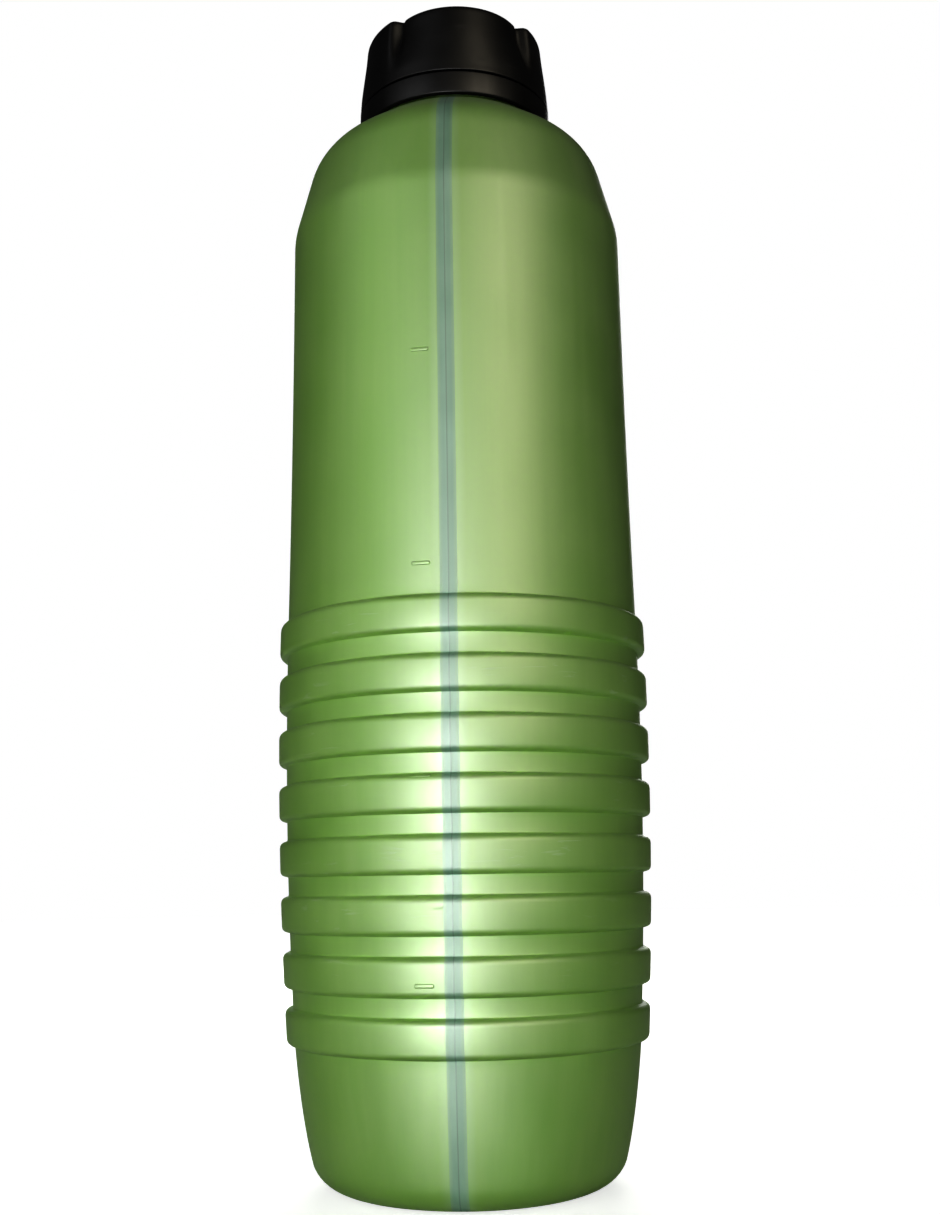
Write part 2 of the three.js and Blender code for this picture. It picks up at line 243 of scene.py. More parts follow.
body_rows = bottle_outline()
neck_rows = neck_outline()
body_inside = inner_wall(body_rows, wall)
neck_inside = [
    (bore_radius, neck_foot + (rim_height - neck_foot) * (i + 1) / len(neck_rows))
    for i in range(len(neck_rows))
]
neck_inside[-1] = (bore_radius + 0.25 * mm, rim_height)
for i, (radius, height) in enumerate(body_inside):
    if height > dome_corner and radius < bore_radius + 1.6 * mm:
        body_inside[i] = (max(radius, bore_radius), min(height, neck_foot))
rows = body_rows + neck_rows
inside_rows = body_inside + neck_inside

strip_half = (strip_high.x - strip_low.x) / 2
strip_lines = [x * mm for x in (-1.2, -0.6, -0.14, 0, 0.14, 0.6, 1.2)]
strip_lines = [-strip_half] + strip_lines + [strip_half]
seam_lines = [x * mm for x in (-0.5, -0.14, 0, 0.14, 0.5)]
side_columns = 58
strip_least_radius = 18.5 * mm
strip_first_row = next(i for i, p in enumerate(rows) if p[0] > 27 * mm)
strip_last_row = max(i for i, p in enumerate(body_rows) if p[0] > strip_least_radius)


def column_angles(radius):
    """Angles from -Y. The lines of the strip and of the rear seam stay straight up the wall."""
    radius = max(radius, strip_least_radius)
    front = [math.asin(x / radius) for x in strip_lines]
    back = [math.pi + math.asin(x / radius) for x in seam_lines]
    right = [front[-1] + (back[0] - front[-1]) * i / side_columns for i in range(1, side_columns)]
    left_end = front[0] + 2 * math.pi
    left = [back[-1] + (left_end - back[-1]) * i / side_columns for i in range(1, side_columns)]
    return front + right + back + left


column_count = len(column_angles(rib_radius))
seam_columns = (len(strip_lines) // 2, len(strip_lines) + side_columns - 1 + len(seam_lines) // 2)
seam_height = 0.025 * mm
pinch_height = 0.5 * mm


def wall_vertex(radius, height, column, outside, in_neck):
    """One point of the wall, with the mould's parting line and the neck's thread on it."""
    angle = column_angles(radius)[column]
    if outside and in_neck and bead_high < height < rim_height - 0.7 * mm:
        from_x = angle - math.pi / 2
        radius += thread_height(from_x, height, neck_thread_start, 0, neck_thread_turns)
    if outside and column in seam_columns and not in_neck:
        if radius < 17 * mm and height < 10 * mm:
            height -= pinch_height
        elif height > 1 * mm:
            radius += seam_height
    return (radius * math.sin(angle), -radius * math.cos(angle), height)


def new_piece(name, vertices, faces, material, sharp_degrees=40):
    """A closed smooth-shaded mesh object with unused points dropped and normals outward."""
    used = sorted({index for face in faces for index in face})
    place = {old: new for new, old in enumerate(used)}
    mesh = bpy.data.meshes.new(name)
    mesh.from_pydata(
        [vertices[i] for i in used], [], [[place[i] for i in face] for face in faces]
    )
    piece_mesh = bmesh.new()
    piece_mesh.from_mesh(mesh)
    bmesh.ops.recalc_face_normals(piece_mesh, faces=piece_mesh.faces)
    piece_mesh.to_mesh(mesh)
    piece_mesh.free()
    mesh.shade_smooth()
    mesh.set_sharp_from_angle(angle=math.radians(sharp_degrees))
    mesh.materials.append(material)
    piece = bpy.data.objects.new(name, mesh)
    bpy.context.scene.collection.objects.link(piece)
    return piece


def wall_radius(height):
    """Outside radius of the body at a height."""
    for (r0, z0), (r1, z1) in zip(body_rows, body_rows[1:]):
        if r0 > strip_least_radius and z0 <= height < z1:
            return r0 + (r1 - r0) * (height - z0) / (z1 - z0)
    return body_rows[-1][0]


# The four level marks are raised bars with round ends, 4 mm long, left of the strip.
mark_heights_mm = (43.8, 84.3, 127.4, 173.6)
mark_length = 4 * mm
mark_width = 0.84 * mm
mark_rise = 0.26 * mm
mark_turn = math.radians(-8.3)


def mark_shape(height, vertices, faces):
    """Adds one raised bar: stacked rounded outlines, sunk a little into the wall."""
    layers = ((-0.3, 0), (0, 0), (0.55, 0.03), (0.9, 0.12), (1, 0.24))
    around = 12
    first = len(vertices)
    straight = (mark_length - mark_width) / 2
    for rise, inset in layers:
        end = mark_width / 2 - inset * mm
        for i in range(2 * around):
            turn = -math.pi / 2 + math.pi * (i % around) / (around - 1)
            side = 1 if i < around else -1
            across = side * (straight + end * math.cos(turn))
            level = side * end * math.sin(turn)
            at = wall_radius(height + level) + rise * mark_rise
            angle = mark_turn + across / at
            vertices.append((at * math.sin(angle), -at * math.cos(angle), height + level))
    count = 2 * around
    for layer in range(len(layers) - 1):
        for i in range(count):
            a = first + layer * count + i
            b = first + layer * count + (i + 1) % count
            faces.append((a, b, b + count, a + count))
    faces.append(tuple(first + i for i in range(count))[::-1])
    faces.append(tuple(first + (len(layers) - 1) * count + i for i in range(count)))


def build_bottle():
    """Faces of the shell and of the strip, over one shared set of points."""
    vertices = []

    def ring(radius, height, outside, in_neck):
        if radius == 0:
            vertices.append((0, 0, height))
            return [len(vertices) - 1] * column_count
        start = len(vertices)
        for column in range(column_count):
            vertices.append(wall_vertex(radius, height, column, outside, in_neck))
        return list(range(start, start + column_count))

    outer = [ring(r, z, True, i >= len(body_rows)) for i, (r, z) in enumerate(rows)]
    inner = [ring(r, z, False, i >= len(body_rows)) for i, (r, z) in enumerate(inside_rows)]
    shell = []
    strip = []

    def quad(target, *corners):
        kept = list(dict.fromkeys(corners))
        if len(kept) > 2:
            target.append(kept)

    strip_faces = len(strip_lines) - 1
    for i in range(len(rows) - 1):
        in_strip = strip_first_row <= i < strip_last_row
        for j in range(column_count):
            k = (j + 1) % column_count
            target = strip if in_strip and j < strip_faces else shell
            quad(target, outer[i][j], outer[i][k], outer[i + 1][k], outer[i + 1][j])
            quad(target, inner[i][j], inner[i + 1][j], inner[i + 1][k], inner[i][k])
        if in_strip:
            for j in (0, strip_faces):
                side = (outer[i][j], outer[i + 1][j], inner[i + 1][j], inner[i][j])
                quad(shell, *side)
                quad(strip, *side)
    for i in (strip_first_row, strip_last_row):
        for j in range(strip_faces):
            end = (outer[i][j], outer[i][j + 1], inner[i][j + 1], inner[i][j])
            quad(shell, *end)
            quad(strip, *end)
    for j in range(column_count):
        k = (j + 1) % column_count
        quad(shell, outer[-1][j], outer[-1][k], inner[-1][k], inner[-1][j])
    for height_mm in mark_heights_mm:
        mark_shape(height_mm * mm, vertices, shell)
    return vertices, shell, strip


def new_material(name):
    """A material with a Principled BSDF, and its node tree."""
    material = bpy.data.materials.new(name)
    material.use_nodes = True
    return material, material.node_tree


def add_node(tree, kind, values=None, **settings):
    """Adds a node; values are written to its sockets by name, and settings on the node."""
    node = tree.nodes.new(kind)
    for key, value in settings.items():
        setattr(node, key, value)
    for key, value in (values or {}).items():
        node.inputs[key].default_value = value
    return node


def mix_colours(tree, factor, first, second):
    """Colour from first to second by factor; a colour is a socket or four numbers."""
    node = add_node(tree, "ShaderNodeMix", data_type="RGBA")
    sockets = [s for s in node.inputs if s.enabled]
    for socket, value in zip(sockets, (factor, first, second)):
        if isinstance(value, bpy.types.NodeSocket):
            tree.links.new(value, socket)
        else:
            socket.default_value = value
    return next(s for s in node.outputs if s.enabled)


def calculate(tree, operation, *terms, clamp=False):
    """A math node; a term is a socket or a number."""
    node = add_node(tree, "ShaderNodeMath", operation=operation, use_clamp=clamp)
    for socket, value in zip(node.inputs, terms):
        if isinstance(value, bpy.types.NodeSocket):
            tree.links.new(value, socket)
        else:
            socket.default_value = value
    return node.outputs[0]


def ramp(tree, value, low, high):
    """0 below low and 1 above high, with a smooth rise between them."""
    node = add_node(tree, "ShaderNodeMapRange", interpolation_type="SMOOTHSTEP")
    tree.links.new(value, node.inputs["Value"])
    node.inputs["From Min"].default_value = low
    node.inputs["From Max"].default_value = high
    return node.outputs["Result"]


def new_group(name, inputs, outputs):
    """A node group whose inputs, with their usual values, and outputs are plain numbers."""
    group = bpy.data.node_groups.new(name, "ShaderNodeTree")
    for label, value in inputs.items():
        socket = group.interface.new_socket(label, in_out="INPUT", socket_type="NodeSocketFloat")
        socket.default_value = value
    for label in outputs:
        group.interface.new_socket(label, in_out="OUTPUT", socket_type="NodeSocketFloat")
    group_in = group.nodes.new("NodeGroupInput")
    group_out = group.nodes.new("NodeGroupOutput")
    return group, group_in, group_out


def place_group(tree, group, values):
    """Puts a node group in a material with its own values."""
    node = tree.nodes.new("ShaderNodeGroup")
    node.node_tree = group
    for key, value in values.items():
        node.inputs[key].default_value = value
    return node


# Moulded skin: fine grain of the mould's blasted steel, a soft unevenness of the blown wall and
# faint streaks along the draw. It gives a height for bump and a mottling mask.
skin, skin_in, skin_out = new_group(
    "moulded_skin", {"Grain size": 0.5, "Wave size": 14.0, "Streaks": 0.3}, ("Height", "Mottle"))
skin_place = add_node(skin, "ShaderNodeTexCoord")
skin_scale = calculate(skin, "DIVIDE", 1000.0, skin_in.outputs["Grain size"])
skin_grain = add_node(skin, "ShaderNodeTexNoise", {"Detail": 2.0, "Roughness": 0.6})
skin.links.new(skin_place.outputs["Object"], skin_grain.inputs["Vector"])
skin.links.new(skin_scale, skin_grain.inputs["Scale"])
skin_wave_scale = calculate(skin, "DIVIDE", 1000.0, skin_in.outputs["Wave size"])
skin_wave = add_node(skin, "ShaderNodeTexNoise", {"Detail": 1.0, "Roughness": 0.4})
skin.links.new(skin_place.outputs["Object"], skin_wave.inputs["Vector"])
skin.links.new(skin_wave_scale, skin_wave.inputs["Scale"])
skin_stretch = add_node(skin, "ShaderNodeMapping", {"Scale": (420.0, 420.0, 14.0)})
skin.links.new(skin_place.outputs["Object"], skin_stretch.inputs["Vector"])
skin_streak = add_node(skin, "ShaderNodeTexNoise", {"Scale": 1.0, "Detail": 3.0})
skin.links.new(skin_stretch.outputs["Vector"], skin_streak.inputs["Vector"])
skin_streaks = calculate(skin, "MULTIPLY", skin_streak.outputs["Fac"], skin_in.outputs["Streaks"])
skin_fine = calculate(skin, "MULTIPLY", skin_grain.outputs["Fac"], 0.35)
skin_broad = calculate(skin, "MULTIPLY", skin_wave.outputs["Fac"], 2.0)
skin_sum = calculate(skin, "ADD", skin_fine, skin_streaks)
skin.links.new(calculate(skin, "ADD", skin_sum, skin_broad), skin_out.inputs["Height"])
skin_mix = calculate(skin, "MULTIPLY", skin_streak.outputs["Fac"], skin_wave.outputs["Fac"])
skin.links.new(calculate(skin, "MULTIPLY", skin_mix, 2.2), skin_out.inputs["Mottle"])

# Handling wear: thin scuffs, kept to where a mask lets them show.
scuff, scuff_in, scuff_out = new_group(
    "handling_scuffs", {"Where": 1.0, "Amount": 0.4}, ("Scuff",))
scuff_place = add_node(scuff, "ShaderNodeTexCoord")
scuff_turn = add_node(scuff, "ShaderNodeMapping", {
    "Rotation": (0.3, 0.2, 0.5), "Scale": (90.0, 160.0, 900.0)})
scuff.links.new(scuff_place.outputs["Object"], scuff_turn.inputs["Vector"])
scuff_lines = add_node(
    scuff, "ShaderNodeTexNoise", {"Scale": 1.0, "Detail": 4.0, "Distortion": 0.6})
scuff.links.new(scuff_turn.outputs["Vector"], scuff_lines.inputs["Vector"])
scuff_patch = add_node(scuff, "ShaderNodeTexNoise", {"Scale": 60.0, "Detail": 2.0})
scuff.links.new(scuff_place.outputs["Object"], scuff_patch.inputs["Vector"])
scuff_thin = ramp(scuff, scuff_lines.outputs["Fac"], 0.6, 0.72)
scuff_where = ramp(scuff, scuff_patch.outputs["Fac"], 0.45, 0.62)
scuff_both = calculate(scuff, "MULTIPLY", scuff_thin, scuff_where)
scuff_masked = calculate(scuff, "MULTIPLY", scuff_both, scuff_in.outputs["Where"])
scuff.links.new(
    calculate(scuff, "MULTIPLY", scuff_masked, scuff_in.outputs["Amount"], clamp=True),
    scuff_out.inputs["Scuff"])

# Green HDPE, satin. The pigment thins out over the last few millimetres before the strip, and
# only the ribs' faces, which stand out furthest, are scuffed.
rib_face_inner = 0.0394
rib_face_outer = 0.0408
green_deep = (0.198, 0.425, 0.038, 1)
green_light = (0.240, 0.465, 0.056, 1)
green_thin = (0.330, 0.560, 0.200, 1)
green_scuffed = (0.420, 0.600, 0.280, 1)
green_plastic, green_tree = new_material("green_plastic")
green_shader = green_tree.nodes["Principled BSDF"]
green_shader.inputs["IOR"].default_value = 1.5
green_shader.inputs["Specular IOR Level"].default_value = 0.8
green_place = add_node(green_tree, "ShaderNodeTexCoord")
green_axes = add_node(green_tree, "ShaderNodeSeparateXYZ")
green_tree.links.new(green_place.outputs["Object"], green_axes.inputs["Vector"])
green_skin = place_group(green_tree, skin, {"Grain size": 0.45, "Wave size": 16.0, "Streaks": 0.25})
green_x = calculate(green_tree, "ABSOLUTE", green_axes.outputs["X"])
green_front = ramp(green_tree, green_axes.outputs["Y"], 0.0, -0.01)
green_near = ramp(green_tree, green_x, strip_half + 2.2 * mm, strip_half - 0.2 * mm)
green_near_strip = calculate(green_tree, "MULTIPLY", green_near, green_front)
green_thinned = calculate(green_tree, "MULTIPLY", green_near_strip, 0.6)
green_base = mix_colours(green_tree, green_skin.outputs["Mottle"], green_deep, green_light)
green_pale = mix_colours(green_tree, green_thinned, green_base, green_thin)
green_wear = place_group(green_tree, scuff, {"Amount": 0.35})
green_radius = calculate(
    green_tree, "SQRT", calculate(
        green_tree, "ADD",
        calculate(green_tree, "POWER", green_x, 2.0),
        calculate(green_tree, "POWER", green_axes.outputs["Y"], 2.0)))
green_tree.links.new(
    ramp(green_tree, green_radius, rib_face_inner, rib_face_outer), green_wear.inputs["Where"])
green_colour = mix_colours(green_tree, green_wear.outputs["Scuff"], green_pale, green_scuffed)
green_tree.links.new(green_colour, green_shader.inputs["Base Color"])
green_rough = calculate(green_tree, "MULTIPLY_ADD", green_skin.outputs["Mottle"], 0.1, 0.5)
green_tree.links.new(
    calculate(green_tree, "ADD", green_rough,
              calculate(green_tree, "MULTIPLY", green_wear.outputs["Scuff"], 0.5)),
    green_shader.inputs["Roughness"])
green_bump = add_node(green_tree, "ShaderNodeBump", {"Strength": 0.35, "Distance": 0.00004})
green_tree.links.new(green_skin.outputs["Height"], green_bump.inputs["Height"])
green_tree.links.new(green_bump.outputs["Normal"], green_shader.inputs["Normal"])

# Unpigmented HDPE: milky grey-green, streaked along the draw and greener towards its edges. Down
# its middle runs the mould's parting line, a faint ridge with a painted shadow darkening it.
strip_milky = (0.250, 0.450, 0.305, 1)
strip_deep = (0.160, 0.340, 0.215, 1)
# Colour of the painted shadow along the parting line.
strip_seam_shadow = (0.100, 0.170, 0.130, 1)
milky_plastic, milky_tree = new_material("milky_plastic")
milky_shader = milky_tree.nodes["Principled BSDF"]
milky_shader.inputs["IOR"].default_value = 1.5
milky_shader.inputs["Specular IOR Level"].default_value = 0.55
milky_place = add_node(milky_tree, "ShaderNodeTexCoord")
milky_axes = add_node(milky_tree, "ShaderNodeSeparateXYZ")
milky_tree.links.new(milky_place.outputs["Object"], milky_axes.inputs["Vector"])
milky_skin = place_group(milky_tree, skin, {"Grain size": 0.35, "Wave size": 9.0, "Streaks": 0.5})
milky_x = calculate(milky_tree, "ABSOLUTE", milky_axes.outputs["X"])
milky_edge = ramp(milky_tree, milky_x, 0.9 * mm, strip_half)
milky_base = mix_colours(milky_tree, milky_skin.outputs["Mottle"], strip_deep, strip_milky)
milky_soft = mix_colours(milky_tree, calculate(milky_tree, "MULTIPLY", milky_edge, 0.35),
                         milky_base, green_thin)
# Painted shadow: the strip is darkened along its middle, where the parting-line ridge's shade
# falls.
milky_seam_shadow = ramp(milky_tree, milky_x, 0.16 * mm, 0.08 * mm)
milky_colour = mix_colours(milky_tree, calculate(milky_tree, "MULTIPLY", milky_seam_shadow, 0.5),
                           milky_soft, strip_seam_shadow)
milky_tree.links.new(milky_colour, milky_shader.inputs["Base Color"])
milky_tree.links.new(
    calculate(milky_tree, "MULTIPLY_ADD", milky_skin.outputs["Mottle"], 0.12, 0.5),
    milky_shader.inputs["Roughness"])
milky_bump = add_node(milky_tree, "ShaderNodeBump", {"Strength": 0.6, "Distance": 0.00006})
milky_tree.links.new(milky_skin.outputs["Height"], milky_bump.inputs["Height"])
milky_tree.links.new(milky_bump.outputs["Normal"], milky_shader.inputs["Normal"])

bottle_points, shell_faces, strip_faces = build_bottle()
bottle = new_piece("bottle", bottle_points, shell_faces, green_plastic)
level_strip = new_piece("level_strip", bottle_points, strip_faces, milky_plastic)
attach(bottle, "bottle")
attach(level_strip, "bottle")
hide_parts("bottle_shell")
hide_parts("sight_strip")

# ---------------------------------------------------------------- screw cap
# A cap injection-moulded in black polypropylene, screwed on to the neck. It has two skirts
# under one top: the outer is the grip, four broad lobes with a narrow notch between each two,
# and the inner carries the thread.

cap_low, cap_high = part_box("screw_cap")
cap_radius = cap_high.y
cap_wall = 1.3 * mm
cap_top_thickness = 2.6 * mm
cap_ceiling = cap_high.z - cap_top_thickness
skirt_clearance = 0.3 * mm
skirt_wall = 1.1 * mm
skirt_bore = neck_radius + thread_depth + skirt_clearance
skirt_radius = skirt_bore + skirt_wall
skirt_low = bead_high + 0.3 * mm
grip_shoulder_radius = cap_radius - 0.5 * mm
grip_shoulder = cap_high.z - 6.5 * mm
grip_rim_radius = grip_shoulder_radius - 0.8 * mm
cap_recess = 1.1 * mm
cap_recess_radius = grip_rim_radius - 5.5 * mm
lobe_turn = 10  # this and the next two are in degrees
lobe_end = 45
lobe_step = 3
lobe_fall = 2.2 * mm
lobe_flat = 0.7 * mm
lobe_fade_bottom = 2 * mm
lobe_fade_top = 3.5 * mm
notch_depth = 0.8 * mm
notch_half_width = 5  # degrees
cap_thread_turns = 1.25
cap_thread_start_turn = 0.13
threads_apart = 1.35 * mm
cap_thread_start = neck_thread_start - threads_apart + cap_thread_start_turn * thread_pitch


def ease(low, high, value):
    """0 below low and 1 above high, with a smooth rise between them."""
    t = min(max((value - low) / (high - low), 0), 1)
    return t * t * (3 - 2 * t)


def lobe_cut(angle, height):
    """How far the grip is cut in at an angle from -Y and a height, as on the CAD cap."""
    turn = math.degrees(angle) - lobe_turn
    from_middle = abs(turn - 180 * round(turn / 180))
    on_side = ease(lobe_end - lobe_step, lobe_end + lobe_step, from_middle)
    fall = lobe_fall * min(from_middle / lobe_end, 1) ** 2
    flat = lobe_flat * min((from_middle - lobe_end) / lobe_end, 1)
    notch = notch_depth * (1 - ease(0, notch_half_width, abs(from_middle - lobe_end)))
    rise = ease(cap_low.z + lobe_fade_bottom, cap_high.z - lobe_fade_top, height)
    return (fall * (1 - on_side) + flat * on_side + notch) * rise


def turned_piece(name, outline, columns, place, material):
    """A closed body: an outline turned about Z, each point put by place(radius, height, angle)."""
    vertices = []
    rings = []
    for radius, height in outline:
        start = len(vertices)
        if radius == 0:
            vertices.append((0, 0, height))
            rings.append([start] * columns)
            continue
        for column in range(columns):
            angle = 2 * math.pi * column / columns
            r, z = place(radius, height, angle)
            vertices.append((r * math.sin(angle), -r * math.cos(angle), z))
        rings.append(list(range(start, start + columns)))
    faces = []
    closed = outline[0][0] > 0
    pairs = list(zip(rings, rings[1:])) + ([(rings[-1], rings[0])] if closed else [])
    for low, high in pairs:
        for j in range(columns):
            k = (j + 1) % columns
            face = list(dict.fromkeys((low[j], low[k], high[k], high[j])))
            if len(face) > 2:
                faces.append(face)
    return new_piece(name, vertices, faces, material)


def cap_outline():
    """From the middle of the top, down the grip, round both skirts to the ceiling."""
    top = cap_high.z
    rounding = 0.25 * mm
    points = soften([
        (0, top - cap_recess), (cap_recess_radius - 0.6 * mm, top - cap_recess, 0.4 * mm),
        (cap_recess_radius, top, 0.4 * mm), (grip_rim_radius + 0.1 * mm, top, 1.3 * mm),
        (grip_shoulder_radius - 0.1 * mm, grip_shoulder, 2.4 * mm),
        (cap_radius - 0.1 * mm, cap_low.z + 1 * mm), (cap_radius, cap_low.z, 0.3 * mm),
        (cap_radius - cap_wall, cap_low.z, rounding),
        (grip_shoulder_radius - cap_wall, grip_shoulder, 1 * mm),
        (grip_rim_radius - cap_wall, cap_ceiling, rounding),
        (skirt_radius, cap_ceiling, rounding), (skirt_radius, skirt_low, rounding),
        (skirt_bore, skirt_low, rounding), (skirt_bore, skirt_low + 0.3 * mm),
    ], steps=6)
    fine = []
    for a, b in zip(points, points[1:]):
        pieces = max(1, math.ceil(abs(b[1] - a[1]) / (0.9 * mm)))
        for i in range(pieces):
            fine.append(tuple(p + (q - p) * i / pieces for p, q in zip(a, b)))
    bore_low = skirt_low + 0.3 * mm
    steps = 70
    for i in range(steps + 1):
        fine.append((skirt_bore, bore_low + (cap_ceiling - bore_low) * i / steps))
    fine.append((skirt_bore - 1 * mm, cap_ceiling))
    fine.append((0, cap_ceiling))
    return fine


def cap_vertex(radius, height, angle):
    """Puts the thread on the inner skirt and cuts the lobes into the grip."""
    if radius <= skirt_bore + 0.01 * mm:
        if radius == skirt_bore and height < cap_ceiling - 1 * mm:
            radius -= thread_height(angle - math.pi / 2, height, cap_thread_start,
                                    cap_thread_start_turn, cap_thread_turns)
        return radius, height
    if height > cap_ceiling and radius < cap_recess_radius:
        return radius, height
    if radius <= skirt_radius:
        return radius, height
    moved = radius - lobe_cut(angle, height) * ease(
        cap_recess_radius, cap_recess_radius + 2.5 * mm, radius)
    if height < cap_ceiling + 0.01 * mm:
        moved = max(moved, skirt_radius + 0.05 * mm)
    return moved, height


# Black polypropylene: satin, with a fine spark-eroded grain and thin, slightly greyer scuffs.
cap_black = (0.0022, 0.0022, 0.0024, 1)
cap_grey = (0.007, 0.0072, 0.0075, 1)
black_plastic, black_tree = new_material("black_plastic")
black_shader = black_tree.nodes["Principled BSDF"]
black_shader.inputs["IOR"].default_value = 1.49
black_shader.inputs["Specular IOR Level"].default_value = 0.14
black_skin = place_group(black_tree, skin, {"Grain size": 0.3, "Wave size": 7.0, "Streaks": 0.1})
black_wear = place_group(black_tree, scuff, {"Where": 1.0, "Amount": 0.5})
black_tree.links.new(
    mix_colours(black_tree, black_wear.outputs["Scuff"], cap_black, cap_grey),
    black_shader.inputs["Base Color"])
black_rough = calculate(black_tree, "MULTIPLY_ADD", black_skin.outputs["Mottle"], 0.12, 0.36)
black_tree.links.new(
    calculate(black_tree, "MULTIPLY_ADD", black_wear.outputs["Scuff"], 0.4, black_rough),
    black_shader.inputs["Roughness"])
black_bump = add_node(black_tree, "ShaderNodeBump", {"Strength": 0.4, "Distance": 0.00004})
black_tree.links.new(black_skin.outputs["Height"], black_bump.inputs["Height"])
black_tree.links.new(black_bump.outputs["Normal"], black_shader.inputs["Normal"])

cap_columns = 300
cap = turned_piece("cap", cap_outline(), cap_columns, cap_vertex, black_plastic)
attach(cap, "cap")
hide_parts("screw_cap")

# ---------------------------------------------------------------- cap liner
# A loose disc stamped from white polyethylene foam, pushed up inside the cap, which seals on
# the neck's rim. The rim leaves a faint pressed ring in its face.

liner_low, liner_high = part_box("cap_liner")
liner_radius = liner_high.y
liner_press = 0.08 * mm
liner_outline = soften([
    (0, liner_low.z), (bore_radius - 0.4 * mm, liner_low.z, 0.2 * mm),
    (bore_radius + 0.1 * mm, liner_low.z + liner_press, 0.2 * mm),
    (neck_radius - 0.3 * mm, liner_low.z + liner_press, 0.2 * mm),
    (neck_radius + 0.2 * mm, liner_low.z, 0.2 * mm), (liner_radius, liner_low.z, 0.15 * mm),
    (liner_radius, liner_high.z, 0.15 * mm), (0, liner_high.z),
])
foam_white = (0.62, 0.60, 0.54, 1)
foam_cream = (0.74, 0.73, 0.68, 1)
foam, foam_tree = new_material("white_foam")
foam_shader = foam_tree.nodes["Principled BSDF"]
foam_place = add_node(foam_tree, "ShaderNodeTexCoord")
foam_cells = add_node(foam_tree, "ShaderNodeTexVoronoi", {"Scale": 2400.0})
foam_tree.links.new(foam_place.outputs["Object"], foam_cells.inputs["Vector"])
foam_tree.links.new(
    mix_colours(foam_tree, foam_cells.outputs["Distance"], foam_white, foam_cream),
    foam_shader.inputs["Base Color"])
foam_tree.links.new(
    calculate(foam_tree, "MULTIPLY_ADD", foam_cells.outputs["Distance"], 0.2, 0.62),
    foam_shader.inputs["Roughness"])
foam_bump = add_node(foam_tree, "ShaderNodeBump", {"Strength": 0.4, "Distance": 0.00008})
foam_tree.links.new(foam_cells.outputs["Distance"], foam_bump.inputs["Height"])
foam_tree.links.new(foam_bump.outputs["Normal"], foam_shader.inputs["Normal"])

liner_columns = 96
liner = turned_piece("liner", liner_outline, liner_columns, lambda r, z, angle: (r, z), foam)
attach(liner, "liner")
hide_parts("cap_liner")

# ---------------------------------------------------------------- tamper band
# The black polypropylene ring that is moulded with the cap and stays on the neck, held by its
# lip under the neck's bead, when the cap is first opened. The stubs of its broken bridges stand
# on its upper edge.

band_low, band_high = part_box("tamper_band")
band_stub_height = 0.2 * mm
band_top = band_high.z - band_stub_height
band_radius = cap_radius
band_wall = 1.4 * mm
band_bore = band_radius - band_wall
lip_gap = 0.4 * mm
lip_overlap = 1.4 * mm
lip_top = bead_low - lip_gap
lip_radius = bead_radius - lip_overlap
band_outline = soften([
    (band_bore, band_low.z + 1 * mm), (band_bore, band_low.z, 0.15 * mm),
    (band_radius - 0.15 * mm, band_low.z, 0.3 * mm), (band_radius, band_low.z + 1.5 * mm),
    (band_radius, band_top, 0.25 * mm), (band_bore, band_top, 0.15 * mm),
    (band_bore, lip_top, 0.1 * mm), (lip_radius, lip_top, 0.15 * mm),
    (lip_radius, lip_top - 0.7 * mm, 0.15 * mm), (band_bore, lip_top - 1.2 * mm, 0.1 * mm),
    (band_bore, band_low.z + 1.2 * mm),
], steps=4)
stub_spacing = 360 / 12  # degrees
first_stub = 15  # degrees
stub_half_width = 1  # degrees
band_columns = 240


def band_vertex(radius, height, angle):
    """Raises the upper edge into the little stubs."""
    near = (math.degrees(angle) - first_stub) % stub_spacing
    near = min(near, stub_spacing - near)
    on_wall = band_bore + 0.2 * mm < radius < band_radius - 0.1 * mm
    on_top = height > band_top - 0.05 * mm
    if on_wall and on_top and near < stub_half_width:
        height += band_stub_height
    return radius, height


band = turned_piece("band", band_outline, band_columns, band_vertex, black_plastic)
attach(band, "band")
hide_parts("tamper_band")

# ---------------------------------------------------------------- floor and light
# A plain pale floor that fades into a white surround, under soft studio lamps: small ones left
# of the camera, which give the glow down the ribs, and soft panels left, right and behind. The
# glow and sheen lamps show only in the gloss.

floor_radius = 2.5
floor_drop = 0.2 * mm
floor_mesh = bpy.data.meshes.new("floor")
floor_shape = bmesh.new()
bmesh.ops.create_circle(floor_shape, cap_ends=True, segments=96, radius=floor_radius)
floor_shape.to_mesh(floor_mesh)
floor_shape.free()
floor = bpy.data.objects.new("floor", floor_mesh)
floor.location.z = -floor_drop
bpy.context.scene.collection.objects.link(floor)
floor_material, floor_tree = new_material("floor_white")
floor_shader = floor_tree.nodes["Principled BSDF"]
floor_shader.inputs["Roughness"].default_value = 0.9
floor_shader.inputs["Specular IOR Level"].default_value = 0.1
floor_shader.inputs["Base Color"].default_value = (0.6, 0.6, 0.59, 1)
floor_shader.inputs["Emission Color"].default_value = (1, 1, 1, 1)
floor_place = add_node(floor_tree, "ShaderNodeTexCoord")
floor_distance = add_node(floor_tree, "ShaderNodeVectorMath", operation="LENGTH")
floor_tree.links.new(floor_place.outputs["Object"], floor_distance.inputs[0])
floor_fade = ramp(floor_tree, floor_distance.outputs["Value"], 0.05, 0.9)
floor_glow = calculate(floor_tree, "MULTIPLY_ADD", floor_fade, 0.3, 0.74)
floor_rays = add_node(floor_tree, "ShaderNodeLightPath")
floor_tree.links.new(
    calculate(floor_tree, "MULTIPLY", floor_glow, floor_rays.outputs["Is Camera Ray"]),
    floor_shader.inputs["Emission Strength"])
floor_mesh.materials.append(floor_material)

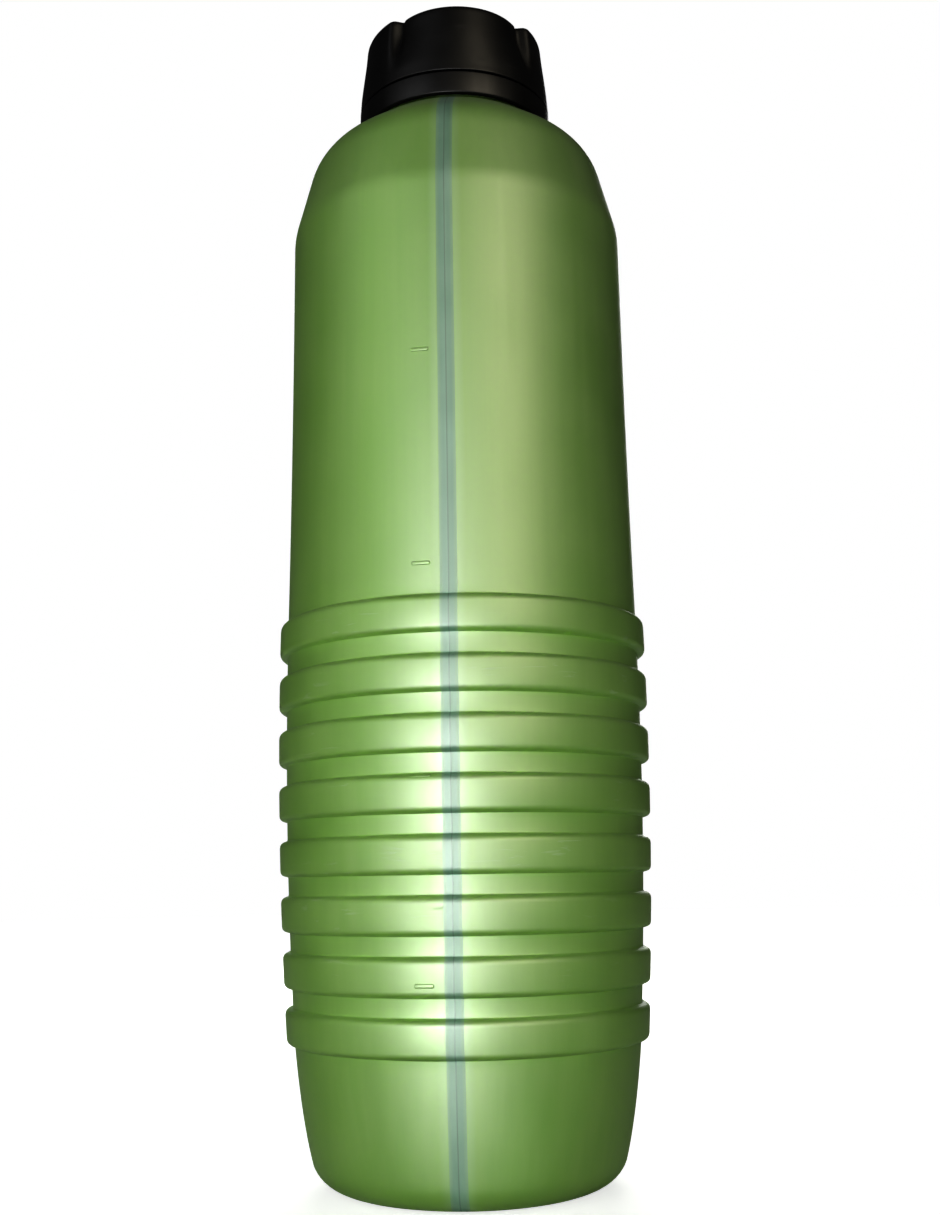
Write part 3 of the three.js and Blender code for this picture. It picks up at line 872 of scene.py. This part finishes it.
world = bpy.data.worlds.new("surround")
world.use_nodes = True
world_tree = world.node_tree
world_back = world_tree.nodes["Background"]
world_back.inputs["Color"].default_value = (1, 1, 1, 1)
world_rays = add_node(world_tree, "ShaderNodeLightPath")
world_seen = world_rays.outputs["Is Camera Ray"]
world_strength = calculate(world_tree, "MULTIPLY_ADD", world_seen, 0.95, 0.05)
world_tree.links.new(world_strength, world_back.inputs["Strength"])
bpy.context.scene.world = world


def soft_light(name, place, aim, width, height, watts, colour=(1, 1, 1), gloss_only=False):
    """A rectangular soft light at a place, turned to face a point."""
    data = bpy.data.lights.new(name, "AREA")
    data.shape = "RECTANGLE"
    data.size = width
    data.size_y = height
    data.energy = watts
    data.color = colour
    lamp = bpy.data.objects.new(name, data)
    lamp.location = place
    lamp.rotation_euler = (Vector(aim) - Vector(place)).to_track_quat("-Z", "Y").to_euler()
    lamp.visible_diffuse = not gloss_only
    lamp.visible_camera = False
    bpy.context.scene.collection.objects.link(lamp)


def round_about(degrees, distance, height):
    """A place at a distance from the bottle, at an angle from -Y towards +X."""
    angle = math.radians(degrees)
    return (distance * math.sin(angle), -distance * math.cos(angle), height)


middle = (0, 0, 0.13)
ribs_middle = (0, 0, 0.1)
warm = (1, 0.9, 0.7)
soft_light("lamp_above", camera_place + Vector((0, -20, 35)) * mm, middle, 0.05, 0.03, 0.22)
soft_light("lamp_left", (-0.066, -0.32, 0.09), ribs_middle, 0.13, 0.1, 0.21)
soft_light("glow_left", (-0.05, -0.32, 0.075), (0, 0, 0.08), 0.07, 0.13, 3.2, gloss_only=True)
soft_light("glow_low", (-0.02, -0.17, 0.004), (0, -0.038, 0.022), 0.09, 0.03, 0.3, gloss_only=True)
soft_light("panel_left", round_about(-25, 0.7, 0.42), middle, 0.2, 0.5, 0.55)
soft_light("sheen_left", round_about(-45, 0.7, 0.42), middle, 0.4, 0.5, 3.2, gloss_only=True)
soft_light("sheen_right", round_about(34, 0.7, 0.42), middle, 0.3, 0.5, 9.5, warm, gloss_only=True)
soft_light("panel_behind", round_about(180, 0.9, 0.45), middle, 0.6, 0.6, 8)

bpy.context.scene.view_settings.view_transform = "Standard"
bpy.context.scene.view_settings.gamma = 0.74
